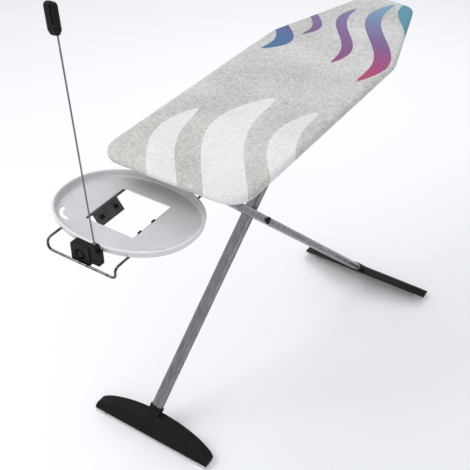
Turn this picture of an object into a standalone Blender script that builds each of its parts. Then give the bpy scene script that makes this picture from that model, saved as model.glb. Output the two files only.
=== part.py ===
"""Folding ironing board with a crossed tube stand, an iron rest and a cable rod.

Metres, +Z up. The blunt end of the board is at x = 0 and its nose points along +X.
Each leg's pieces hang from an empty on that leg's own joint axis.
"""
import math

import bmesh
import bpy
from mathutils import Matrix, Vector

for leftover in list(bpy.data.objects):
    bpy.data.objects.remove(leftover, do_unlink=True)

# Board
BOARD_LENGTH = 1.205
BOARD_WIDTH = 0.400
SHOULDER_X = 0.802
NOSE_WIDTH = 0.174
NOSE_BULGE = 0.018
BLUNT_CORNER = 0.065
SHOULDER_ROUND = 0.160
NOSE_CORNER = 0.045
BOARD_TOP_Z = 0.959
COVER_DEPTH = 0.023
COVER_TOP = 0.010
COVER_EDGE = 0.008
SHEET = 0.0010
# Stand
AXLE_DROP = 0.031
CROSS_X = 0.398
CROSS_Z = 0.604
LEG_A_ANGLE = math.radians(56.0)
LEG_B_ANGLE = math.radians(43.8)
LEG_A_SKEW = 0.136
LEG_B_SKEW = 0.099
TUBE_WIDE = 0.038
TUBE_THIN = 0.023
TUBE_WALL = 0.0015
LEG_GAP = 0.005
PIN_RADIUS = 0.004
HEAD_RADIUS = 0.0075
HEAD_THICK = 0.003
HEIGHT_FOLD = math.radians(12.0)
LEG_A_GAIN = 1.42
# Feet
FOOT_A_WIDTH = 0.408
FOOT_A_SHIFT = -0.023
FOOT_B_WIDTH = 0.468
FOOT_HEIGHT = 0.061
FOOT_END_HEIGHT = 0.012
FOOT_THICK = 0.027
COLLAR_TOP = 0.080
COLLAR_WALL = 0.0035
PAD_THICK = 0.011
PAD_LENGTH = 0.034
PAD_DEPTH = 0.033
SOCKET_FLOOR = 0.022
# Iron rest
REST_INSET = 0.140
TRAY_X = -0.0645
TRAY_SHIFT = 0.003
TRAY_HALF_X = 0.142
TRAY_HALF_Y = 0.185
TRAY_POWER = 2.2
RIM_HEIGHT = 0.019
WIRE_RADIUS = 0.003
WIRE_SPAN = 0.190
WIRE_FRONT_X = -0.228
WIRE_DROP = 0.028
WIRE_BACK_X = 0.165
WIRE_BEND = 0.012
WIRE_BELOW_BOARD = 0.070
BRACKET_GAP = 0.006
BOLT_RADIUS = 0.0040
OPENING_X = 0.140
OPENING_Y = 0.140
# Cable rod
ROD_RADIUS = 0.0018
ROD_HEIGHT = 0.484
ROD_LEAN = 0.028
CLIP_HEIGHT = 0.060
CLIP_WIDE = 0.030
CLIP_THICK = 0.015
CLIP_SHIFT = 0.005
# Clearances
REST_GAP = 0.0003
RUN_GAP = 0.00005
SIDE_GAP = 0.001
SLOT_PLAY = 0.0025

BOARD_BASE_Z = BOARD_TOP_Z - COVER_DEPTH
DECK_TOP_Z = BOARD_TOP_Z - COVER_TOP
CEILING_Z = DECK_TOP_Z - SHEET
AXLE_Z = BOARD_BASE_Z - AXLE_DROP
AXLE_RISE = AXLE_Z - CROSS_Z
ARM_A = AXLE_RISE / math.sin(LEG_A_ANGLE)
ARM_B = AXLE_RISE / math.sin(LEG_B_ANGLE)
WIRE_Z = BOARD_BASE_Z - WIRE_BELOW_BOARD
TRAY_BASE_Z = WIRE_Z + WIRE_RADIUS + REST_GAP
REST_Y = 0.5 * BOARD_WIDTH - REST_INSET
TRAY_Y = REST_Y - TRAY_SHIFT


def material(name, colour, roughness, metallic=0.0):
    made = bpy.data.materials.new(name)
    made.use_nodes = True
    shader = made.node_tree.nodes["Principled BSDF"]
    shader.inputs["Base Color"].default_value = (*colour, 1.0)
    shader.inputs["Roughness"].default_value = roughness
    shader.inputs["Metallic"].default_value = metallic
    made.diffuse_color = (*colour, 1.0)
    return made


FABRIC = material("fabric_cover", (0.78, 0.76, 0.73), 0.9)
DECK_PAINT = material("deck_paint", (0.62, 0.63, 0.64), 0.5, 0.4)
TUBE_STEEL = material("tube_steel", (0.60, 0.61, 0.62), 0.35, 0.9)
PIN_STEEL = material("pin_steel", (0.45, 0.46, 0.47), 0.35, 0.9)
WIRE_CHROME = material("wire_chrome", (0.70, 0.71, 0.72), 0.12, 1.0)
TRAY_PAINT = material("tray_paint", (0.74, 0.74, 0.74), 0.4, 0.1)
DARK_STEEL = material("dark_steel", (0.12, 0.12, 0.12), 0.5, 0.3)
BLACK_PLASTIC = material("black_plastic", (0.04, 0.04, 0.04), 0.45)
RUBBER = material("pad_rubber", (0.22, 0.22, 0.22), 0.8)


def pivot_empty(name, place, parent=None):
    empty = bpy.data.objects.new(name, None)
    bpy.context.collection.objects.link(empty)
    empty.location = place
    if parent:
        empty.parent = parent
        empty.location = Vector(place) - Vector(parent.location)
    return empty


def add_object(name, bm, finish, pivot=None, sharp=35.0):
    """Turns a bmesh in world coordinates into an object whose origin is its pivot."""
    bmesh.ops.remove_doubles(bm, verts=bm.verts, dist=1e-7)
    bmesh.ops.recalc_face_normals(bm, faces=bm.faces)
    if bm.calc_volume(signed=True) < 0.0:
        bmesh.ops.reverse_faces(bm, faces=bm.faces)
    home = Vector((0.0, 0.0, 0.0))
    step = pivot
    while step:
        home = home + Vector(step.location)
        step = step.parent
    bm.transform(Matrix.Translation(-home))
    mesh = bpy.data.meshes.new(name)
    bm.to_mesh(mesh)
    bm.free()
    made = bpy.data.objects.new(name, mesh)
    bpy.context.collection.objects.link(made)
    made.parent = pivot
    mesh.materials.append(finish)
    mesh.shade_smooth()
    mesh.set_sharp_from_angle(angle=math.radians(sharp))
    return made


def cut(target, bm, name, operation="DIFFERENCE"):
    """Cuts (or joins) a hidden shape, given in world coordinates, into the target."""
    tool = add_object(name, bm, BLACK_PLASTIC)
    tool.hide_render = True
    tool.display_type = "WIRE"
    step = target.modifiers.new(name, "BOOLEAN")
    step.operation = operation
    step.solver = "EXACT"
    step.object = tool
    return tool


def loft(rings):
    """A closed body through rings of equal point count, capped at both ends."""
    bm = bmesh.new()
    rows = [[bm.verts.new(point) for point in ring] for ring in rings]
    count = len(rows[0])
    for low, high in zip(rows, rows[1:]):
        for i in range(count):
            j = (i + 1) % count
            bm.faces.new((low[i], low[j], high[j], high[i]))
    bm.faces.new(list(reversed(rows[0])))
    bm.faces.new(rows[-1])
    return bm


def box(low, high):
    spots = [(x, y) for x, y in ((low[0], low[1]), (high[0], low[1]))]
    spots += [(high[0], high[1]), (low[0], high[1])]
    return loft([[(x, y, z) for x, y in spots] for z in (low[2], high[2])])


def sweep(path, section):
    """Carries a section of (side, up) offsets along a path of points."""
    path = [Vector(point) for point in path]
    rings = []
    side = None
    for i, point in enumerate(path):
        before = path[max(i - 1, 0)]
        after = path[min(i + 1, len(path) - 1)]
        along = (after - before).normalized()
        if side is None:
            side = along.orthogonal().normalized()
        side = (side - along * side.dot(along)).normalized()
        up = along.cross(side)
        rings.append([point + side * a + up * b for a, b in section])
    return loft(rings)


def circle(radius, count=16):
    turn = 2.0 * math.pi / count
    return [(radius * math.cos(turn * i), radius * math.sin(turn * i)) for i in range(count)]


def rod_between(start, end, radius, count=20):
    return sweep([start, end], circle(radius, count))


def turned(centre, axis, profile, count=28):
    """A body of revolution: profile rows are (distance along the axis, radius)."""
    axis = Vector(axis).normalized()
    side = axis.orthogonal().normalized()
    up = axis.cross(side)
    rings = []
    for along, radius in profile:
        middle = Vector(centre) + axis * along
        rings.append([middle + side * a + up * b for a, b in circle(radius, count)])
    return loft(rings)


def rounded(corners, steps):
    """A closed outline from (x, y, radius) corners, each turned into an arc."""
    outline = []
    count = len(corners)
    for i, (x, y, radius) in enumerate(corners):
        here = Vector((x, y))
        back = (Vector(corners[i - 1][:2]) - here).normalized()
        ahead = (Vector(corners[(i + 1) % count][:2]) - here).normalized()
        half = 0.5 * back.angle(ahead)
        reach = radius / math.tan(half)
        centre = here + (back + ahead).normalized() * (radius / math.sin(half))
        first = here + back * reach - centre
        last = here + ahead * reach - centre
        sweep_angle = first.angle_signed(last)
        for k in range(steps + 1):
            spot = centre + Matrix.Rotation(-sweep_angle * k / steps, 2) @ first
            outline.append((spot.x, spot.y))
    return outline


def inset(outline, distance):
    """Moves every point of a closed outline inward by the given distance."""
    moved = []
    count = len(outline)
    for i, (x, y) in enumerate(outline):
        x0, y0 = outline[i - 1]
        x1, y1 = outline[(i + 1) % count]
        run = Vector((x1 - x0, y1 - y0)).normalized()
        moved.append((x - run.y * distance, y + run.x * distance))
    return moved


def stadium(length, wide, steps=7):
    """A flat-oval outline, long side along its first axis."""
    radius = 0.5 * wide
    reach = 0.5 * length - radius
    points = []
    for sign, start in ((1.0, -90.0), (-1.0, 90.0)):
        for k in range(steps + 1):
            angle = math.radians(start + 180.0 * k / steps)
            points.append((sign * reach + radius * math.cos(angle), radius * math.sin(angle)))
    return points


def at_height(outline, z):
    return [(x, y, z) for x, y in outline]


# Board outline, drawn anticlockwise seen from above.
half_width = 0.5 * BOARD_WIDTH
half_nose = 0.5 * NOSE_WIDTH
nose_x = BOARD_LENGTH - NOSE_BULGE
board_outline = rounded(
    [
        (0.0, -half_width, BLUNT_CORNER),
        (SHOULDER_X, -half_width, SHOULDER_ROUND),
        (nose_x, -half_nose, NOSE_CORNER),
        (BOARD_LENGTH, 0.0, 0.120),
        (nose_x, half_nose, NOSE_CORNER),
        (SHOULDER_X, half_width, SHOULDER_ROUND),
        (0.0, half_width, BLUNT_CORNER),
    ],
    9,
)

# The padded cover wraps over the deck and ends in a skirt round its edge.
cover_rings = [
    at_height(inset(board_outline, COVER_EDGE), DECK_TOP_Z + REST_GAP),
    at_height(inset(board_outline, COVER_EDGE), BOARD_BASE_Z + 0.001),
    at_height(inset(board_outline, 0.7 * COVER_EDGE), BOARD_BASE_Z),
    at_height(inset(board_outline, 0.3 * COVER_EDGE), BOARD_BASE_Z + 0.001),
    at_height(board_outline, BOARD_BASE_Z + 0.007),
    at_height(board_outline, BOARD_TOP_Z - 0.009),
    at_height(inset(board_outline, 0.0025), BOARD_TOP_Z - 0.003),
    at_height(inset(board_outline, 0.0090), BOARD_TOP_Z),
]
add_object("cover", loft(cover_rings), FABRIC)

# The deck is a sheet steel pan, open below.
deck_outline = inset(board_outline, COVER_EDGE + REST_GAP)
deck_inner = inset(deck_outline, SHEET)
deck_rings = [
    at_height(deck_inner, CEILING_Z),
    at_height(deck_inner, BOARD_BASE_Z + 0.001),
    at_height(deck_outline, BOARD_BASE_Z + 0.001),
    at_height(deck_outline, DECK_TOP_Z),
]
add_object("deck", loft(deck_rings), DECK_PAINT)

# Leg directions, pointing up from the crossing, and the two top axles.
leg_a_up = Vector((math.cos(LEG_A_ANGLE), -LEG_A_SKEW, math.sin(LEG_A_ANGLE)))
leg_b_up = Vector((-math.cos(LEG_B_ANGLE), LEG_B_SKEW, math.sin(LEG_B_ANGLE)))
leg_offset = 0.5 * (TUBE_WIDE + LEG_GAP)
cross_a = Vector((CROSS_X, leg_offset, CROSS_Z))
cross_b = Vector((CROSS_X, -leg_offset, CROSS_Z))
top_a = cross_a + leg_a_up * ARM_A
top_b = cross_b + leg_b_up * ARM_B

leg_b_pivot = pivot_empty("leg_b_pivot", (top_b.x, 0.0, top_b.z))
leg_a_pivot = pivot_empty("leg_a_pivot", (CROSS_X, 0.0, CROSS_Z), leg_b_pivot)


def leg_frame(up):
    """The tube's wide axis, kept as near to Y as the lean allows, and its thin axis."""
    along = up.normalized()
    wide = Vector((0.0, 1.0, 0.0))
    wide = (wide - along * wide.dot(along)).normalized()
    return along, wide, along.cross(wide)


def leg_tube(name, crossing, up, low_z, arm, pivot):
    """A flat-oval tube with open ends, from low_z to a little past its top axle."""
    along, wide, thin = leg_frame(up)
    outer = stadium(TUBE_WIDE, TUBE_THIN)
    inner = stadium(TUBE_WIDE - 2.0 * TUBE_WALL, TUBE_THIN - 2.0 * TUBE_WALL)
    low = crossing + up * ((low_z - CROSS_Z) / up.z)
    high = crossing + up * (arm + 0.013)
    bm = bmesh.new()
    rows = []
    for outline, end in ((inner, low), (outer, low), (outer, high), (inner, high)):
        rows.append([bm.verts.new(end + wide * a + thin * b) for a, b in outline])
    count = len(outer)
    for k in range(4):
        for i in range(count):
            j = (i + 1) % count
            here = rows[k]
            there = rows[(k + 1) % 4]
            bm.faces.new((here[i], here[j], there[j], there[i]))
    return add_object(name, bm, TUBE_STEEL, pivot)


def cross_hole(target, place, radius, name):
    start = (place[0], place[1] - TUBE_WIDE, place[2])
    end = (place[0], place[1] + TUBE_WIDE, place[2])
    cut(target, rod_between(start, end, radius, 24), name)


lowest_lean = min(LEG_A_ANGLE, LEG_B_ANGLE)
leg_end_z = SOCKET_FLOOR + REST_GAP + 0.5 * TUBE_THIN * math.cos(lowest_lean)
leg_a_tube = leg_tube("leg_a_tube", cross_a, leg_a_up, leg_end_z, ARM_A, leg_a_pivot)
leg_b_tube = leg_tube("leg_b_tube", cross_b, leg_b_up, leg_end_z, ARM_B, leg_b_pivot)
cross_hole(leg_a_tube, cross_a, PIN_RADIUS + RUN_GAP, "cut_pivot_a")
cross_hole(leg_b_tube, cross_b, PIN_RADIUS + REST_GAP, "cut_pivot_b")
cross_hole(leg_a_tube, top_a, PIN_RADIUS + REST_GAP, "cut_top_a")
cross_hole(leg_b_tube, top_b, PIN_RADIUS + REST_GAP, "cut_top_b")


def headed_pin(name, centre, reach, pivot):
    """A straight pin along Y with a flat head outside each end of its reach."""
    profile = [
        (-reach - HEAD_THICK, HEAD_RADIUS - 0.001),
        (-reach - HEAD_THICK + 0.001, HEAD_RADIUS),
        (-reach, HEAD_RADIUS),
        (-reach, PIN_RADIUS),
        (reach, PIN_RADIUS),
        (reach, HEAD_RADIUS),
        (reach + HEAD_THICK - 0.001, HEAD_RADIUS),
        (reach + HEAD_THICK, HEAD_RADIUS - 0.001),
    ]
    return add_object(name, turned(centre, (0.0, 1.0, 0.0), profile), PIN_STEEL, pivot)


# Side plates under the deck: two lugs hold leg B's axle, two slotted plates guide leg A's.
plate_thick = 0.003
plate_offset = 0.5 * TUBE_WIDE + 0.009
axle_reach = plate_offset + plate_thick + SIDE_GAP
headed_pin("leg_b_axle", top_b, axle_reach, leg_b_pivot)
headed_pin("leg_a_axle", top_a, axle_reach, leg_a_pivot)

folded_b = LEG_B_ANGLE - HEIGHT_FOLD
folded_a = LEG_A_ANGLE - LEG_A_GAIN * HEIGHT_FOLD
folded_x = top_b.x + ARM_B * math.cos(folded_b) + ARM_A * math.cos(folded_a)
slot_high = PIN_RADIUS + SLOT_PLAY


def hanging_plate(name, low_x, high_x, inner_y, side, low_z):
    """A plate from the deck's ceiling down to low_z, on one side of a leg's top."""
    outer_y = inner_y + side * plate_thick
    low = (low_x, min(inner_y, outer_y), low_z)
    high = (high_x, max(inner_y, outer_y), CEILING_Z - REST_GAP)
    return add_object(name, box(low, high), DARK_STEEL)


for side, label in ((-1.0, "right"), (1.0, "left")):
    inner_b = top_b.y + side * plate_offset
    lug = hanging_plate("lug_" + label, top_b.x - 0.013, top_b.x + 0.022, inner_b, side, AXLE_Z - 0.012)
    cross_hole(lug, (top_b.x, inner_b, AXLE_Z), PIN_RADIUS + RUN_GAP, "cut_lug_" + label)
    inner_a = top_a.y + side * plate_offset
    low_x = top_a.x - 0.022
    high_x = folded_x + 0.022
    rail = hanging_plate("rail_" + label, low_x, high_x, inner_a, side, AXLE_Z - slot_high - 0.009)
    slot = stadium(high_x - low_x - 0.020, 2.0 * slot_high)
    middle_x = 0.5 * (low_x + high_x)
    slot_rings = []
    for y in (inner_a - 0.01, inner_a + 0.01):
        slot_rings.append([(middle_x + a, y, AXLE_Z + b) for a, b in slot])
    cut(rail, loft(slot_rings), "cut_rail_" + label)

# Crossing pin: carried by leg B, turning in leg A, with a washer between the tubes.
outer_face = leg_offset + 0.5 * TUBE_WIDE
pin_end = outer_face + 0.0015
pin_profile = [
    (-pin_end, PIN_RADIUS),
    (pin_end, PIN_RADIUS),
    (pin_end, HEAD_RADIUS),
    (pin_end + HEAD_THICK, HEAD_RADIUS - 0.001),
]
crossing = (CROSS_X, 0.0, CROSS_Z)
add_object("pivot_pin", turned(crossing, (0.0, 1.0, 0.0), pin_profile), PIN_STEEL, leg_b_pivot)
cap_profile = [
    (-pin_end - 0.0055, 0.007),
    (-pin_end - 0.0035, 0.0105),
    (-pin_end - REST_GAP, 0.0112),
]
add_object("pivot_cap", turned(crossing, (0.0, 1.0, 0.0), cap_profile), BLACK_PLASTIC, leg_b_pivot)
washer = turned(crossing, (0.0, 1.0, 0.0), [(-0.001, 0.009), (0.001, 0.009)])
washer = add_object("pivot_washer", washer, BLACK_PLASTIC, leg_b_pivot)
cross_hole(washer, crossing, PIN_RADIUS + REST_GAP, "cut_washer")


def foot(label, crossing_point, up, width, shift, pivot):
    """A half-moon foot that leans with its leg, a collar round the tube and two pads."""
    base_z = PAD_THICK + REST_GAP
    half = 0.5 * width
    centre_y = (crossing_point + up * ((0.0 - CROSS_Z) / up.z)).y + shift
    lean = up.x / up.z
    half_x = 0.5 * FOOT_THICK * math.hypot(1.0, lean)
    rings = []
    count = 30
    for k in range(count + 1):
        across = -math.cos(math.pi * k / count)
        bulge = max(0.0, 1.0 - across * across) ** 0.7
        top_z = base_z + FOOT_END_HEIGHT + (FOOT_HEIGHT - base_z - FOOT_END_HEIGHT) * bulge
        y = centre_y + across * half
        bevel = min(0.006, 0.3 * (top_z - base_z))
        ring = []
        for share, z in (
            (-0.94, base_z),
            (0.94, base_z),
            (1.0, base_z + 0.3 * bevel),
            (1.0, top_z - bevel),
            (0.75, top_z),
            (-0.75, top_z),
            (-1.0, top_z - bevel),
            (-1.0, base_z + 0.3 * bevel),
        ):
            x = CROSS_X + lean * (z - CROSS_Z) + share * half_x
            ring.append((x, y, z))
        rings.append(ring)
    bar = add_object("foot_" + label, loft(rings), BLACK_PLASTIC, pivot, 50.0)
    wide, thin = leg_frame(up)[1:]

    def sleeve(growth, low_z, high_z):
        outline = stadium(TUBE_WIDE + 2.0 * growth, TUBE_THIN + 2.0 * growth)
        ends = []
        for z in (low_z, high_z):
            spot = crossing_point + up * ((z - CROSS_Z) / up.z)
            ends.append([spot + wide * a + thin * b for a, b in outline])
        return loft(ends)

    cut(bar, sleeve(COLLAR_WALL, 0.5 * FOOT_HEIGHT, COLLAR_TOP), "add_collar_" + label, "UNION")
    cut(bar, sleeve(REST_GAP, leg_end_z - REST_GAP, COLLAR_TOP + 0.05), "cut_foot_" + label)
    for side, name in ((-1.0, "right"), (1.0, "left")):
        outer = centre_y + side * (half - 0.003)
        inner = outer - side * PAD_LENGTH
        pad_x = CROSS_X + lean * (base_z - CROSS_Z)
        low = (pad_x - 0.5 * PAD_DEPTH, min(outer, inner), 0.0)
        high = (pad_x + 0.5 * PAD_DEPTH, max(outer, inner), PAD_THICK)
        add_object("foot_" + label + "_pad_" + name, box(low, high), RUBBER, pivot)


foot("a", cross_a, leg_a_up, FOOT_A_WIDTH, FOOT_A_SHIFT, leg_a_pivot)
foot("b", cross_b, leg_b_up, FOOT_B_WIDTH, 0.0, leg_b_pivot)

# Iron rest: one bent wire carries the tray and slides into two guides under the deck.
wire_left = REST_Y + 0.5 * WIRE_SPAN
wire_right = REST_Y - 0.5 * WIRE_SPAN
wire_low = WIRE_Z - WIRE_DROP
wire_corners = [
    Vector((WIRE_BACK_X, wire_left, WIRE_Z)),
    Vector((WIRE_FRONT_X, wire_left, WIRE_Z)),
    Vector((WIRE_FRONT_X, wire_left, wire_low)),
    Vector((WIRE_FRONT_X, wire_right, wire_low)),
    Vector((WIRE_FRONT_X, wire_right, WIRE_Z)),
    Vector((WIRE_BACK_X, wire_right, WIRE_Z)),
]
wire_path = [wire_corners[0]]
for before, here, after in zip(wire_corners, wire_corners[1:], wire_corners[2:]):
    back = (before - here).normalized() * WIRE_BEND
    ahead = (after - here).normalized() * WIRE_BEND
    for k in range(6):
        turn = 0.5 * math.pi * k / 5
        wire_path.append(here + back * (1.0 - math.sin(turn)) + ahead * (1.0 - math.cos(turn)))
wire_path.append(wire_corners[-1])
add_object("rest_wire", sweep(wire_path, circle(WIRE_RADIUS, 12)), WIRE_CHROME)

for y, label in ((wire_right, "right"), (wire_left, "left")):
    guide_low = (WIRE_BACK_X - 0.053, y - 0.008, WIRE_Z - 0.008)
    guide_high = (WIRE_BACK_X - 0.011, y + 0.008, CEILING_Z - REST_GAP)
    guide = add_object("guide_" + label, box(guide_low, guide_high), BLACK_PLASTIC)
    bore_start = (WIRE_BACK_X - 0.065, y, WIRE_Z)
    bore_end = (WIRE_BACK_X + 0.015, y, WIRE_Z)
    bore = rod_between(bore_start, bore_end, WIRE_RADIUS + REST_GAP, 24)
    cut(guide, bore, "cut_guide_" + label)

# Tray: a shallow pressed oval with a raised rim, a square opening and two grip slots.
tray_outline = []
for k in range(80):
    angle = 2.0 * math.pi * k / 80
    cosine = math.cos(angle)
    sine = math.sin(angle)
    x = TRAY_X + TRAY_HALF_X * math.copysign(abs(cosine) ** (2.0 / TRAY_POWER), cosine)
    y = TRAY_Y + TRAY_HALF_Y * math.copysign(abs(sine) ** (2.0 / TRAY_POWER), sine)
    tray_outline.append((x, y))
rim_z = TRAY_BASE_Z + RIM_HEIGHT
floor_z = TRAY_BASE_Z + 0.003
tray_rings = [
    at_height(inset(tray_outline, 0.007), TRAY_BASE_Z),
    at_height(inset(tray_outline, 0.003), TRAY_BASE_Z + 0.003),
    at_height(inset(tray_outline, 0.001), rim_z - 0.004),
    at_height(tray_outline, rim_z - 0.002),
    at_height(inset(tray_outline, 0.002), rim_z),
    at_height(inset(tray_outline, 0.005), rim_z),
    at_height(inset(tray_outline, 0.0062), rim_z - 0.002),
    at_height(inset(tray_outline, 0.0075), floor_z + 0.003),
    at_height(inset(tray_outline, 0.0105), floor_z),
]
tray = add_object("tray", loft(tray_rings), TRAY_PAINT, None, 30.0)
open_low_x = TRAY_X + 0.0045 - 0.5 * OPENING_X
open_high_x = open_low_x + OPENING_X
open_low_y = REST_Y + 0.001 - 0.5 * OPENING_Y
open_high_y = open_low_y + OPENING_Y
window = rounded(
    [
        (open_low_x, open_low_y, 0.006),
        (open_high_x, open_low_y, 0.006),
        (open_high_x, open_high_y, 0.006),
        (open_low_x, open_high_y, 0.006),
    ],
    4,
)
cut(tray, loft([at_height(window, TRAY_BASE_Z - 0.01), at_height(window, rim_z + 0.01)]), "cut_window")
for side, label in ((-1.0, "right"), (1.0, "left")):
    turn = Matrix.Rotation(math.radians(side * 52.0), 2)
    centre = Vector((TRAY_X - 0.51 * TRAY_HALF_X, TRAY_Y + side * 0.66 * TRAY_HALF_Y))
    crescent = [(0.029, 0.0), (0.010, side * 0.002), (0.006, side * 0.008), (-0.006, side * 0.008)]
    crescent += [(-0.010, side * 0.002), (-0.029, 0.0)]
    for k in range(1, 8):
        angle = math.pi * (1.0 - k / 8)
        crescent.append((0.029 * math.cos(angle), side * 0.016 * math.sin(angle)))
    grip = [tuple(centre + turn @ Vector(point)) for point in crescent]
    grip_rings = [at_height(grip, TRAY_BASE_Z - 0.01), at_height(grip, rim_z + 0.01)]
    cut(tray, loft(grip_rings), "cut_grip_" + label)

# Bent steel brackets under the two sides of the opening, each with a sloping drilled flap.
for side, label in ((-1.0, "right"), (1.0, "left")):
    edge_y = open_high_y if side > 0.0 else open_low_y
    top_z = TRAY_BASE_Z - REST_GAP
    wire_y = wire_left if side > 0.0 else wire_right
    outer_y = wire_y - side * (WIRE_RADIUS + BRACKET_GAP)
    inner_y = edge_y - side * 0.004
    low = (open_low_x - 0.006, min(outer_y, inner_y), top_z - 0.0025)
    high = (open_high_x + 0.006, max(outer_y, inner_y), top_z)
    bracket = add_object("stop_bracket_" + label, box(low, high), DARK_STEEL)
    flap_low_x = open_low_x + 0.022
    flap_high_x = flap_low_x + 0.086
    flap = [
        (inner_y + side * 0.003, top_z - 0.001),
        (inner_y + side * 0.0005, top_z - 0.001),
        (inner_y - side * 0.0215, top_z - 0.0290),
        (inner_y - side * 0.0190, top_z - 0.0300),
    ]
    flap_rings = [[(x, y, z) for y, z in flap] for x in (flap_low_x, flap_high_x)]
    cut(bracket, loft(flap_rings), "add_flap_" + label, "UNION")
    for k, spot in enumerate((flap_low_x + 0.018, flap_high_x - 0.018)):
        middle = Vector((spot, inner_y - side * 0.0095, top_z - 0.0150))
        through = Vector((0.0, side * 0.78, -0.62)) * 0.01
        hole = rod_between(middle - through, middle + through, BOLT_RADIUS + REST_GAP, 16)
        cut(bracket, hole, "cut_flap_" + label + str(k))
        bolt_profile = [
            (-0.0062, BOLT_RADIUS + 0.0010),
            (-0.0050, BOLT_RADIUS + 0.0020),
            (-0.0028, BOLT_RADIUS + 0.0020),
            (-0.0028, BOLT_RADIUS),
            (0.0060, BOLT_RADIUS),
        ]
        bolt = turned(middle, through, bolt_profile, 16)
        add_object("bracket_bolt_" + label + "_" + str(k + 1), bolt, BLACK_PLASTIC)

# Clamp behind the front wire: a block with a recessed knob, and the jaw beside it.
clamp_low = Vector((WIRE_FRONT_X + WIRE_RADIUS + REST_GAP, REST_Y - 0.022, wire_low - 0.001))
clamp_high = Vector((TRAY_X - TRAY_HALF_X - SIDE_GAP, REST_Y + 0.030, wire_low + 0.049))
clamp_outline = rounded(
    [
        (clamp_low.y, clamp_low.z, 0.003),
        (clamp_high.y, clamp_low.z, 0.003),
        (clamp_high.y, clamp_high.z, 0.010),
        (clamp_low.y, clamp_high.z, 0.004),
    ],
    4,
)
clamp_rings = [[(x, y, z) for y, z in clamp_outline] for x in (clamp_low.x, clamp_high.x)]
clamp = add_object("clamp_body", loft(clamp_rings), BLACK_PLASTIC)
face_z = 0.5 * (clamp_low.z + clamp_high.z) - 0.002
face_y = REST_Y + 0.004
recess_start = (clamp_low.x - 0.01, face_y, face_z)
recess_end = (clamp_low.x + 0.006, face_y, face_z)
cut(clamp, rod_between(recess_start, recess_end, 0.0135, 28), "cut_recess")
knob_profile = [
    (0.0, 0.009),
    (0.005, 0.0095),
    (0.007, 0.008),
]
knob_base = (clamp_low.x + 0.006 - REST_GAP, face_y, face_z)
add_object("clamp_knob", turned(knob_base, (-1.0, 0.0, 0.0), knob_profile), BLACK_PLASTIC)
jaw_high_y = clamp_low.y - REST_GAP
jaw_low_y = jaw_high_y - 0.026
jaw_low_z = wire_low + 0.008
jaw_high_z = clamp_high.z + 0.008
jaw_outline = rounded(
    [
        (jaw_low_y, jaw_low_z, 0.003),
        (jaw_high_y, jaw_low_z, 0.003),
        (jaw_high_y, jaw_high_z, 0.003),
        (jaw_high_y - 0.018, jaw_high_z, 0.004),
        (jaw_high_y - 0.018, jaw_high_z - 0.014, 0.002),
        (jaw_low_y, jaw_high_z - 0.014, 0.004),
    ],
    4,
)
jaw_rings = [[(x, y, z) for y, z in jaw_outline] for x in (clamp_low.x + 0.002, clamp_high.x)]
jaw = add_object("clamp_jaw", loft(jaw_rings), BLACK_PLASTIC)

# Cable rod: turns in a bore in the clamp's jaw and carries a slotted clip at its top.
rod_foot = Vector((0.5 * (clamp_low.x + clamp_high.x) + 0.001, jaw_high_y - 0.010, jaw_high_z))
rod_axis = Vector((0.0, ROD_LEAN, ROD_HEIGHT)).normalized()
rod_turn = pivot_empty("rod_pivot", rod_foot)
rod_low = rod_foot - rod_axis * 0.024
rod_high = rod_foot + rod_axis * ROD_HEIGHT
bore = rod_between(rod_low - rod_axis * 0.001, rod_foot + rod_axis * 0.02, ROD_RADIUS + RUN_GAP, 24)
cut(jaw, bore, "cut_rod_bore")
rod_profile = [
    (0.0, ROD_RADIUS),
    (0.024 + REST_GAP, ROD_RADIUS),
    (0.024 + REST_GAP, 0.0034),
    (0.030, 0.0034),
    (0.031, ROD_RADIUS),
    (0.024 + ROD_HEIGHT, ROD_RADIUS),
]
add_object("rod", turned(rod_low, rod_axis, rod_profile, 24), PIN_STEEL, rod_turn)

clip_front = Vector((0.0, 1.0, 0.0)).cross(rod_axis).normalized()
clip_side = rod_axis.cross(clip_front)


def clip_ring(along, wide, thick):
    spots = stadium(wide, thick, 5)
    middle = rod_high + rod_axis * along + clip_side * CLIP_SHIFT
    return [middle + clip_side * a + clip_front * b for a, b in spots]


clip_low = -0.014
clip_high = clip_low + CLIP_HEIGHT
clip_rings = [
    clip_ring(clip_low, 0.70 * CLIP_WIDE, 0.80 * CLIP_THICK),
    clip_ring(clip_low + 0.008, CLIP_WIDE, CLIP_THICK),
    clip_ring(clip_high - 0.006, CLIP_WIDE, CLIP_THICK),
    clip_ring(clip_high - 0.002, 0.88 * CLIP_WIDE, 0.85 * CLIP_THICK),
    clip_ring(clip_high, 0.70 * CLIP_WIDE, 0.60 * CLIP_THICK),
]
clip = add_object("rod_clip", loft(clip_rings), BLACK_PLASTIC, rod_turn)
socket_end = rod_high + rod_axis * REST_GAP
socket = rod_between(rod_high - rod_axis * 0.03, socket_end, ROD_RADIUS + REST_GAP, 20)
cut(clip, socket, "cut_clip_socket")
slit_rings = []
for along in (0.008, CLIP_HEIGHT):
    middle = rod_high + rod_axis * along
    corners = [(-0.0016, -0.02), (0.0016, -0.02), (0.0016, 0.02), (-0.0016, 0.02)]
    slit_rings.append([middle + clip_side * a + clip_front * b for a, b in corners])
cut(clip, loft(slit_rings), "cut_clip_slit")
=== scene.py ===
"""Folding ironing board: materials, the padded cover and its sewing, over the CAD frame.

Metres, +Z up. The board's blunt end is at x = 0 and its nose points along +X.
"""

import math

import bmesh
import bpy
from mathutils import Matrix, Vector, noise


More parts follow.
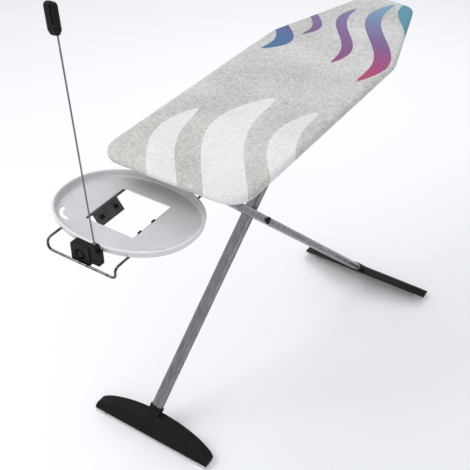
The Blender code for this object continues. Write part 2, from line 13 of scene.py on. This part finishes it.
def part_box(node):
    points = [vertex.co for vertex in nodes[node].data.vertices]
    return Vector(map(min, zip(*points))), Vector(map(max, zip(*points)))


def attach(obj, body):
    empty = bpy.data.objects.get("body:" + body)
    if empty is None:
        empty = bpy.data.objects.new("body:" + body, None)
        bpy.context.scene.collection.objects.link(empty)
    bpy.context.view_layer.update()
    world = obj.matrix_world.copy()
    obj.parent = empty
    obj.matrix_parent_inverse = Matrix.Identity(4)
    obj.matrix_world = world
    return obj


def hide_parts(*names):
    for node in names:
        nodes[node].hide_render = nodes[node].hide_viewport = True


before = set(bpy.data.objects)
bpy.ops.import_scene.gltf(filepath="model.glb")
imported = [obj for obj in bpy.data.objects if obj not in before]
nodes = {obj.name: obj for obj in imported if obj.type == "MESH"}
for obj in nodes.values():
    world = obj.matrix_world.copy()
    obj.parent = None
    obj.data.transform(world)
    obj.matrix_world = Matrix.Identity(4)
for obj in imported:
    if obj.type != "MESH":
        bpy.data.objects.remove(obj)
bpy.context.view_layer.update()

# ---------------------------------------------------------------- camera
# Stands off the blunt end, to the right of the board, and looks down at the whole stand.
def placed(name, data):
    """A new object that shows the given camera, lamp or mesh in the scene."""
    made = bpy.data.objects.new(name, data)
    bpy.context.collection.objects.link(made)
    return made


yaw = 0.5683
pitch = 0.6609
tilt = 0.0074
look = Vector((math.cos(pitch) * math.cos(yaw), math.cos(pitch) * math.sin(yaw), -math.sin(pitch)))
right = Vector((look.y, -look.x, 0.0)).normalized()
up = right.cross(look)
side = right * math.cos(tilt) + up * math.sin(tilt)
top = up * math.cos(tilt) - right * math.sin(tilt)
camera_data = bpy.data.cameras.new("camera")
camera_data.lens = 64.75
camera_data.sensor_width = 36.0
camera = placed("camera", camera_data)
camera.matrix_world = Matrix((
    (side.x, top.x, -look.x, -1.234),
    (side.y, top.y, -look.y, -0.976),
    (side.z, top.z, -look.z, 2.012),
    (0.0, 0.0, 0.0, 1.0),
))
bpy.context.scene.camera = camera

# ---------------------------------------------------------------- light
# A pale surround with one broad soft key, a low fill and a gentle light from behind.
world = bpy.data.worlds.new("studio")
world.use_nodes = True
world.node_tree.nodes["Background"].inputs["Color"].default_value = (0.93, 0.95, 1.0, 1.0)
world.node_tree.nodes["Background"].inputs["Strength"].default_value = 0.80
bpy.context.scene.world = world
bpy.context.scene.view_settings.view_transform = "Standard"
for name, place, aim, size, power in (
    ("key", (-1.2, 1.6, 3.4), (0.4, 0.0, 0.7), 2.2, 48.0),
    ("fill", (-2.4, -2.0, 1.6), (0.2, 0.0, 0.6), 2.0, 12.0),
    ("back", (3.0, 0.8, 2.4), (0.6, 0.0, 0.8), 1.6, 16.0),
):
    lamp = bpy.data.lights.new(name, "AREA")
    lamp.size = size
    lamp.energy = power
    lit = placed(name, lamp)
    lit.location = place
    lit.rotation_euler = (Vector(aim) - Vector(place)).to_track_quat("-Z", "Y").to_euler()

# ---------------------------------------------------------------- floor
# A wide pale sheet, almost white, so only a soft contact shadow shows under the feet.
floor_mesh = bpy.data.meshes.new("floor")
floor_mesh.from_pydata([(-9, -9, 0), (9, -9, 0), (9, 9, 0), (-9, 9, 0)], [], [(0, 1, 2, 3)])
floor = placed("floor", floor_mesh)
floor_paint = bpy.data.materials.new("floor")
floor_paint.use_nodes = True
floor_shader = floor_paint.node_tree.nodes["Principled BSDF"]
floor_shader.inputs["Base Color"].default_value = (0.93, 0.93, 0.93, 1.0)
floor_shader.inputs["Roughness"].default_value = 0.9
floor_mesh.materials.append(floor_paint)


# ---------------------------------------------------------------- cover cloth
# Heathered linen-look cotton with a printed design: pale waves at the blunt end and
# blue, violet and pink ones at the nose.
class Amount:
    """A shader socket that can be used in sums, so that a pattern reads as a formula."""

    def __init__(self, finish, socket):
        self.finish = finish
        self.socket = socket

    def maths(self, operation, *terms):
        sockets = dict(enumerate(terms))
        return self.finish.amount("ShaderNodeMath", {"operation": operation}, sockets)

    def __add__(self, other):
        return self.maths("ADD", self, other)

    def __radd__(self, other):
        return self.maths("ADD", other, self)

    def __sub__(self, other):
        return self.maths("SUBTRACT", self, other)

    def __rsub__(self, other):
        return self.maths("SUBTRACT", other, self)

    def __mul__(self, other):
        return self.maths("MULTIPLY", self, other)

    def __rmul__(self, other):
        return self.maths("MULTIPLY", other, self)

    def __truediv__(self, other):
        return self.maths("DIVIDE", self, other)

    def __pow__(self, other):
        return self.maths("POWER", self, other)

    def __abs__(self):
        return self.maths("ABSOLUTE", self)

    def least(self, other):
        return self.maths("MINIMUM", self, other)

    def most(self, other):
        return self.maths("MAXIMUM", self, other)

    def sine(self):
        return self.maths("SINE", self)

    def span(self, low, high, out_low=0.0, out_high=1.0):
        ends = {0: self, 1: low, 2: high, 3: out_low, 4: out_high}
        return self.finish.amount("ShaderNodeMapRange", {}, ends)


class Finish:
    """A Principled material whose patterns are laid out in object coordinates."""

    def __init__(self, name, roughness=0.5, metallic=0.0):
        self.material = bpy.data.materials.new(name)
        self.material.use_nodes = True
        self.tree = self.material.node_tree
        self.shader = self.tree.nodes["Principled BSDF"]
        self.shader.inputs["Roughness"].default_value = roughness
        self.shader.inputs["Metallic"].default_value = metallic
        self.place = self.add("ShaderNodeTexCoord", {}, {}).outputs["Object"]
        apart = self.add("ShaderNodeSeparateXYZ", {}, {0: self.place})
        self.x, self.y, self.z = (Amount(self, out) for out in apart.outputs)

    def add(self, kind, settings, sockets):
        """Adds one node: its settings first, then a value or a link for each socket."""
        made = self.tree.nodes.new(kind)
        for name, value in settings.items():
            if name == "stops":
                marks = made.color_ramp.elements
                while len(marks) < len(value):
                    marks.new(0.5)
                for mark, (position, colour) in zip(marks, value):
                    mark.position = position
                    mark.color = (*colour, 1.0)
            else:
                setattr(made, name, value)
        for key, value in sockets.items():
            if isinstance(value, Amount):
                value = value.socket
            if isinstance(value, bpy.types.NodeSocket):
                self.tree.links.new(value, made.inputs[key])
            else:
                made.inputs[key].default_value = value
        return made

    def amount(self, kind, settings, sockets):
        return Amount(self, self.add(kind, settings, sockets).outputs[0])

    def noise(self, scale, detail=2.0, stretch=(1.0, 1.0, 1.0), rough=0.5):
        scaling = {"operation": "MULTIPLY"}
        stretched = self.add("ShaderNodeVectorMath", scaling, {0: self.place, 1: stretch})
        sockets = {"Vector": stretched.outputs[0], "Scale": scale, "Detail": detail, "Roughness": rough}
        return self.amount("ShaderNodeTexNoise", {}, sockets)

    def ramp(self, share, *stops):
        return self.add("ShaderNodeValToRGB", {"stops": stops}, {0: share}).outputs[0]

    def mix(self, share, first, second, blend="MIX"):
        settings = {"data_type": "RGBA", "blend_type": blend}
        return self.add("ShaderNodeMix", settings, {0: share, 6: first, 7: second}).outputs[2]

    def wear(self, colour, rough, bump, strength=0.3, depth=0.0004):
        """Sends the finished colour, roughness and bump height to the shader."""
        sockets = {"Strength": strength, "Distance": depth, "Height": bump}
        normal = self.add("ShaderNodeBump", {}, sockets).outputs[0]
        self.tree.links.new(colour, self.shader.inputs["Base Color"])
        self.tree.links.new(rough.socket, self.shader.inputs["Roughness"])
        self.tree.links.new(normal, self.shader.inputs["Normal"])


cloth = Finish("printed_cotton", 0.88)
long_yarn = cloth.noise(1.0, 3.0, (80.0, 620.0, 300.0), 0.7)
cross_yarn = cloth.noise(1.0, 3.0, (620.0, 80.0, 300.0), 0.7)
cloud = cloth.noise(6.0, 2.0)
heather = (long_yarn + cross_yarn) * 0.5 + (cloud - 0.5) * 0.20
ground = cloth.ramp(
    heather,
    (0.30, (0.205, 0.200, 0.186)),
    (0.47, (0.500, 0.492, 0.466)),
    (0.62, (0.700, 0.692, 0.665)),
)
beige = (0.93, 0.895, 0.845, 1.0)
ground = cloth.mix(cloth.x.span(0.45, 0.10, 0.0, 0.6), ground, beige, "MULTIPLY")


def wave(start, end, sway, width, edge=0.0015):
    """How much of a printed S-shaped wave covers a point: 1 inside, 0 outside."""
    along = ((cloth.x - start[0]) / (end[0] - start[0])).most(0.0).least(1.0)
    middle = along * (end[1] - start[1]) + start[1] + (along * 2.0 * math.pi).sine() * sway
    half = (along * math.pi).sine().most(0.0) ** 0.6 * width
    return ((half - abs(cloth.y - middle)) / edge).most(0.0).least(1.0)


pale = wave((-0.30, -0.10), (0.295, 0.112), -0.045, 0.043)
pale = pale.most(wave((-0.30, -0.20), (0.445, -0.022), -0.060, 0.062))
pale = pale.most(wave((-0.22, -0.36), (0.442, -0.150), -0.055, 0.043))
pale = pale.most(wave((-0.34, 0.060), (0.110, 0.250), -0.040, 0.042))
chalk = cloth.ramp(heather, (0.32, (0.62, 0.62, 0.61)), (0.62, (0.80, 0.80, 0.79)))
painted = cloth.mix(pale * 0.95, ground, chalk)
sunset = cloth.ramp(
    cloth.x.span(0.64, 1.16),
    (0.02, (0.420, 0.001, 0.105)),
    (0.20, (0.330, 0.004, 0.130)),
    (0.44, (0.155, 0.045, 0.205)),
    (0.68, (0.130, 0.150, 0.320)),
    (0.95, (0.130, 0.300, 0.440)),
)
violet = cloth.ramp(
    cloth.x.span(0.70, 1.07),
    (0.02, (0.250, 0.010, 0.130)),
    (0.35, (0.150, 0.045, 0.200)),
    (0.95, (0.165, 0.120, 0.290)),
)
azure = cloth.ramp(
    cloth.x.span(0.68, 0.86),
    (0.05, (0.004, 0.115, 0.260)),
    (0.55, (0.014, 0.095, 0.260)),
    (0.95, (0.075, 0.060, 0.230)),
)
for shape, ink in (
    (wave((0.643, -0.156), (1.175, -0.029), -0.041, 0.030), sunset),
    (wave((0.702, -0.048), (1.074, 0.058), -0.027, 0.021), violet),
    (wave((0.818, 0.108), (1.120, 0.200), -0.032, 0.019), violet),
    (wave((0.674, 0.158), (1.040, 0.262), -0.046, 0.034), azure),
    (wave((0.880, -0.190), (1.240, -0.080), -0.022, 0.040), (0.030, 0.230, 0.320, 1.0)),
):
    painted = cloth.mix(shape * 0.95, painted, ink)
thread = cloth.ramp(heather, (0.34, (0.80, 0.80, 0.80)), (0.58, (1.0, 1.0, 1.0)))
painted = cloth.mix(0.6, painted, thread, "MULTIPLY")
cloth.wear(painted, cloud.span(0.3, 0.7, 0.82, 0.94), long_yarn + cross_yarn, 0.35, 0.0006)
cloth.shader.inputs["Sheen Weight"].default_value = 0.15

# ---------------------------------------------------------------- cover
# The padded top: remeshed finely, then softened, given a slight swell, and puckered
# where the drawstring pulls the skirt in under the edge.
PAD_SWELL = 0.0007
PAD_RIPPLE = 0.0004
PUCKER_DEPTH = 0.0011
PUCKER_RISE = 0.012
merged = bmesh.new()
merged.from_mesh(nodes["cover"].data)
bmesh.ops.remove_doubles(merged, verts=merged.verts, dist=1e-6)
blank = bpy.data.meshes.new("cover_blank")
merged.to_mesh(blank)
merged.free()
pad = placed("padded_cover", blank)
remesh = pad.modifiers.new("remesh", "REMESH")
remesh.mode = "VOXEL"
remesh.voxel_size = 0.0045
soften = pad.modifiers.new("soften", "SMOOTH")
soften.factor = 0.5
soften.iterations = 5
settled = bpy.data.meshes.new_from_object(pad.evaluated_get(bpy.context.evaluated_depsgraph_get()))
pad.modifiers.clear()
pad.data = settled
settled.materials.clear()
settled.materials.append(cloth.material)
cover_low, cover_high = (Vector(corner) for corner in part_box("cover"))
outwards = [vertex.normal.copy() for vertex in settled.vertices]
for vertex, outward in zip(settled.vertices, outwards):
    spot = vertex.co
    flat = max(0.0, outward.z) ** 2
    swell = PAD_SWELL * noise.noise(spot * 9.0) + PAD_RIPPLE * noise.noise(spot * 31.0)
    pucker = noise.noise(Vector((spot.x * 34.0, spot.y * 34.0, 3.0)))
    skirt = max(0.0, 1.0 - (spot.z - cover_low.z) / PUCKER_RISE) * (1.0 - flat)
    spot += outward * (swell * flat + PUCKER_DEPTH * pucker * skirt)
    spot.z = min(spot.z, cover_high.z)
settled.shade_smooth()
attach(pad, "board")
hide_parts("cover")

# ---------------------------------------------------------------- hem and stitches
# The cover's edge is turned in under the deck round a drawstring: a gathered fabric
# tube. Geometry nodes set a row of thread stitches along the skirt above it.
HEM_IN = 0.0062
HEM_UP = 0.0062
HEM_WIDE = 0.0032
HEM_HIGH = 0.0036
HEM_SIDES = 10
STITCH_OUT = 0.0078
STITCH_UP = 0.0068
hem_cloth = Finish("hem_cotton", 0.9)
tuft = hem_cloth.noise(900.0, 2.0)
hem_cloth.wear(
    hem_cloth.ramp(tuft, (0.3, (0.40, 0.39, 0.37)), (0.7, (0.62, 0.61, 0.58))),
    tuft.span(0.3, 0.7, 0.8, 0.95),
    tuft,
)
deck_rim = bmesh.new()
deck_rim.from_mesh(nodes["deck"].data)
rim_low = min(vertex.co.z for vertex in deck_rim.verts)
cover_middle = 0.5 * (cover_low + cover_high)
fan = {}
for vertex in deck_rim.verts:
    from_middle = vertex.co - cover_middle
    angle = round(math.atan2(from_middle.y, from_middle.x), 4)
    reach = math.hypot(from_middle.x, from_middle.y)
    if vertex.co.z < rim_low + 0.0005 and reach > fan.get(angle, (0.0, None))[0]:
        fan[angle] = (reach, Vector((vertex.co.x, vertex.co.y, 0.0)))
deck_rim.free()
rim_path = [spot for angle, (reach, spot) in sorted(fan.items())]


def even_path(points, spacing):
    """A closed path resampled at an even spacing."""
    closed = points + [points[0]]
    spans = [(b - a).length for a, b in zip(closed, closed[1:])]
    total = sum(spans)
    count = int(total / spacing)
    even = []
    index = 0
    passed = 0.0
    for k in range(count):
        target = total * k / count
        while passed + spans[index] < target:
            passed += spans[index]
            index += 1
        even.append(closed[index].lerp(closed[index + 1], (target - passed) / spans[index]))
    return even


def shifted(points, inward, height):
    """The closed path moved sideways by inward and set at a height."""
    moved = []
    for k, point in enumerate(points):
        run = (points[(k + 1) % len(points)] - points[k - 1]).normalized()
        moved.append(Vector((point.x - run.y * inward, point.y + run.x * inward, height)))
    return moved


rim_even = even_path(rim_path, 0.004)
hem_centre = shifted(rim_even, HEM_IN, cover_low.z + HEM_UP)
hem_mesh = bmesh.new()
hem_rows = []
for k, point in enumerate(hem_centre):
    run = (hem_centre[(k + 1) % len(hem_centre)] - hem_centre[k - 1]).normalized()
    across = Vector((-run.y, run.x, 0.0))
    gather = 1.0 + 0.16 * math.sin(1.9 * k) + 0.18 * noise.noise(Vector((0.7 * k, 0.0, 5.0)))
    row = []
    for j in range(HEM_SIDES):
        turn = 2.0 * math.pi * j / HEM_SIDES
        upward = Vector((0.0, 0.0, HEM_HIGH * math.sin(turn)))
        offset = across * (HEM_WIDE * math.cos(turn)) + upward
        row.append(hem_mesh.verts.new(point + offset * gather))
    hem_rows.append(row)
for k, row in enumerate(hem_rows):
    ahead = hem_rows[(k + 1) % len(hem_rows)]
    for j in range(HEM_SIDES):
        i = (j + 1) % HEM_SIDES
        hem_mesh.faces.new((row[j], row[i], ahead[i], ahead[j]))
bmesh.ops.recalc_face_normals(hem_mesh, faces=hem_mesh.faces)
hem_data = bpy.data.meshes.new("drawstring_hem")
hem_mesh.to_mesh(hem_data)
hem_mesh.free()
hem_data.shade_smooth()
hem_data.materials.append(hem_cloth.material)
hem = placed("drawstring_hem", hem_data)
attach(hem, "board")

stitch_line = shifted(rim_even, -STITCH_OUT, cover_low.z + STITCH_UP)
thread_finish = Finish("sewing_thread", 0.7)
twist = thread_finish.noise(2400.0, 1.0)
thread_colour = thread_finish.ramp(twist, (0.3, (0.55, 0.54, 0.52)), (0.7, (0.72, 0.71, 0.69)))
thread_finish.wear(thread_colour, twist.span(0.3, 0.7, 0.6, 0.8), twist)
line_mesh = bpy.data.meshes.new("stitch_line")
line_edges = [(k, (k + 1) % len(stitch_line)) for k in range(len(stitch_line))]
line_mesh.from_pydata(stitch_line, line_edges, [])
line = placed("cover_stitches", line_mesh)
sewing = bpy.data.node_groups.new("sewing", "GeometryNodeTree")
sewing.interface.new_socket("Geometry", in_out="INPUT", socket_type="NodeSocketGeometry")
sizes = []
for label, size in (("Pitch", 0.0085), ("Stitch Length", 0.0052), ("Thread Radius", 0.00045)):
    socket = sewing.interface.new_socket(label, in_out="INPUT", socket_type="NodeSocketFloat")
    sizes.append((socket, size))
sewing.interface.new_socket("Geometry", in_out="OUTPUT", socket_type="NodeSocketGeometry")
given = sewing.nodes.new("NodeGroupInput")
result = sewing.nodes.new("NodeGroupOutput")
as_curve = sewing.nodes.new("GeometryNodeMeshToCurve")
spaced = sewing.nodes.new("GeometryNodeCurveToPoints")
spaced.mode = "LENGTH"
stitch = sewing.nodes.new("GeometryNodeMeshCylinder")
stitch.inputs["Vertices"].default_value = 6
stitch.inputs["Side Segments"].default_value = 1
copied = sewing.nodes.new("GeometryNodeInstanceOnPoints")
real = sewing.nodes.new("GeometryNodeRealizeInstances")
coloured = sewing.nodes.new("GeometryNodeSetMaterial")
coloured.inputs["Material"].default_value = thread_finish.material
for out_socket, in_socket in (
    (given.outputs["Geometry"], as_curve.inputs["Mesh"]),
    (as_curve.outputs["Curve"], spaced.inputs["Curve"]),
    (given.outputs["Pitch"], spaced.inputs["Length"]),
    (given.outputs["Stitch Length"], stitch.inputs["Depth"]),
    (given.outputs["Thread Radius"], stitch.inputs["Radius"]),
    (spaced.outputs["Points"], copied.inputs["Points"]),
    (spaced.outputs["Rotation"], copied.inputs["Rotation"]),
    (stitch.outputs["Mesh"], copied.inputs["Instance"]),
    (copied.outputs["Instances"], real.inputs["Geometry"]),
    (real.outputs["Geometry"], coloured.inputs["Geometry"]),
    (coloured.outputs["Geometry"], result.inputs["Geometry"]),
):
    sewing.links.new(out_socket, in_socket)
sewn = line.modifiers.new("sewing", "NODES")
sewn.node_group = sewing
for socket, size in sizes:
    sewn[socket.identifier] = size
stitched = bpy.data.meshes.new_from_object(line.evaluated_get(bpy.context.evaluated_depsgraph_get()))
line.modifiers.clear()
line.data = stitched
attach(line, "board")

# ---------------------------------------------------------------- deck
# Painted expanded metal: diamonds of pale strand, with painted shade in the openings where the backing of
# the cover shows through.
strand_paint = Finish("expanded_metal", 0.5, 0.3)
one_way = (strand_paint.x * 300.0 + strand_paint.y * 520.0).sine()
other_way = (strand_paint.x * 300.0 - strand_paint.y * 520.0).sine()
strand = abs(one_way).least(abs(other_way)).span(0.20, 0.42, 1.0, 0.0)
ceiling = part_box("deck")[1][2] - 0.0012
strand = strand.most(strand_paint.z.span(ceiling - 0.001, ceiling - 0.0004, 1.0, 0.0))
speck = strand_paint.noise(420.0, 2.0)
strand_colour = strand_paint.ramp(speck, (0.3, (0.46, 0.47, 0.48)), (0.7, (0.56, 0.57, 0.58)))
# The near-black colour between the strands is painted shade standing in for the openings of the mesh.
strand_paint.wear(
    strand_paint.mix(strand, (0.13, 0.125, 0.12, 1.0), strand_colour),
    speck.span(0.3, 0.7, 0.42, 0.58),
    strand + speck * 0.1,
    0.6,
    0.001,
)
nodes["deck"].data.materials[0] = strand_paint.material

# ---------------------------------------------------------------- leg tubes
# Silver powder coat over steel: a fine sparkle, painted lengthwise reflection streaks along the tubes and
# uneven gloss.
silver = Finish("silver_coat", 0.34, 0.85)
flake = silver.noise(1900.0, 2.0)
drift = silver.noise(14.0, 3.0)
reflection_streaks = silver.noise(1.0, 3.0, (30.0, 500.0, 30.0))
# The lengthwise streaks in the colour are painted reflections along the tube, mixed with a fine sparkle.
silver.wear(
    silver.ramp(flake * 0.3 + reflection_streaks * 0.7, (0.34, (0.105, 0.106, 0.108)), (0.66, (0.30, 0.305, 0.31))),
    drift.span(0.3, 0.7, 0.26, 0.40),
    flake,
    0.08,
    0.0003,
)
silver.shader.inputs["Coat Weight"].default_value = 0.25
for name in ("leg_a_tube", "leg_b_tube"):
    nodes[name].data.materials[0] = silver.material

# ---------------------------------------------------------------- pins and rod
# Zinc-plated steel: faint turning marks and small cloudy patches.
zinc = Finish("zinc_steel", 0.35, 0.9)
turning = zinc.noise(1.0, 2.0, (900.0, 60.0, 900.0))
patch = zinc.noise(60.0, 3.0)
zinc.wear(
    zinc.ramp(patch, (0.3, (0.130, 0.135, 0.140)), (0.7, (0.210, 0.215, 0.220))),
    turning.span(0.3, 0.7, 0.28, 0.46),
    turning,
    0.1,
    0.0002,
)
for name in ("leg_a_axle", "leg_b_axle", "pivot_pin", "rod"):
    nodes[name].data.materials[0] = zinc.material

# ---------------------------------------------------------------- rest wire
# Black-chromed wire, bent cold, with paler rub marks scattered along it.
chrome = Finish("chromed_wire", 0.12, 1.0)
rub = chrome.noise(90.0, 4.0, (0.3, 1.0, 1.0))
chrome.wear(
    chrome.ramp(rub, (0.35, (0.030, 0.032, 0.033)), (0.68, (0.20, 0.21, 0.215))),
    rub.span(0.4, 0.7, 0.10, 0.24),
    rub,
    0.05,
    0.0002,
)
nodes["rest_wire"].data.materials[0] = chrome.material

# ---------------------------------------------------------------- tray
# Pale grey stoved enamel with a fine orange-peel surface and a painted highlight along the top of the rim.
enamel = Finish("tray_enamel", 0.35, 0.1)
peel = enamel.noise(520.0, 2.0)
soil = enamel.noise(11.0, 3.0)
rim_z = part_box("tray")[1][2]
base = enamel.ramp(soil, (0.3, (0.560, 0.562, 0.562)), (0.7, (0.620, 0.622, 0.622)))
# The top 3 mm of the rim is blended towards pale grey: a painted highlight along the rim.
enamel.wear(
    enamel.mix(enamel.z.span(rim_z - 0.003, rim_z, 0.0, 0.6), base, (0.80, 0.80, 0.80, 1.0)),
    soil.span(0.3, 0.7, 0.30, 0.42),
    peel,
    0.12,
    0.0004,
)
enamel.shader.inputs["Coat Weight"].default_value = 0.3
nodes["tray"].data.materials[0] = enamel.material

# ---------------------------------------------------------------- dark steel plates
# Black e-coat on pressed plate, a little dusty, with a fine cast to the surface.
ecoat = Finish("dark_plate", 0.45, 0.35)
dust = ecoat.noise(38.0, 4.0)
grain = ecoat.noise(700.0, 2.0)
ecoat.wear(
    ecoat.ramp(dust, (0.3, (0.050, 0.051, 0.053)), (0.7, (0.085, 0.086, 0.088))),
    dust.span(0.3, 0.7, 0.38, 0.56),
    grain,
    0.1,
)
for name in ("rail_left", "rail_right", "lug_left", "lug_right", "stop_bracket_left", "stop_bracket_right"):
    nodes[name].data.materials[0] = ecoat.material

# ---------------------------------------------------------------- black plastic
# Moulded plastic with a spark-eroded grain: feet, clamp, guides, caps, bolts and clip.
moulded = Finish("moulded_black", 0.5)
spark = moulded.noise(1100.0, 3.0)
haze = moulded.noise(24.0, 3.0)
moulded.wear(
    moulded.ramp(haze, (0.3, (0.0030, 0.0030, 0.0032)), (0.7, (0.0070, 0.0070, 0.0074))),
    spark.span(0.3, 0.7, 0.45, 0.65),
    spark,
    0.25,
)
moulded.shader.inputs["Specular IOR Level"].default_value = 0.16
for name in (
    "foot_a", "foot_b", "clamp_body", "clamp_jaw", "clamp_knob", "guide_left", "guide_right", "rod_clip",
    "pivot_cap", "pivot_washer", "bracket_bolt_left_1", "bracket_bolt_left_2", "bracket_bolt_right_1",
    "bracket_bolt_right_2",
):
    nodes[name].data.materials[0] = moulded.material

# ---------------------------------------------------------------- foot pads
# Pale grey rubber, dull and finely ribbed so that it grips a smooth floor.
rubber = Finish("grip_rubber", 0.85)
rib = (rubber.y * 2600.0).sine() * 0.5
scuff = rubber.noise(160.0, 3.0)
rubber.wear(
    rubber.ramp(scuff, (0.3, (0.42, 0.42, 0.42)), (0.7, (0.60, 0.60, 0.60))),
    scuff.span(0.3, 0.7, 0.75, 0.92),
    rib + scuff * 0.4,
    0.5,
    0.0006,
)
for name, node in nodes.items():
    if "_pad_" in name:
        node.data.materials[0] = rubber.material
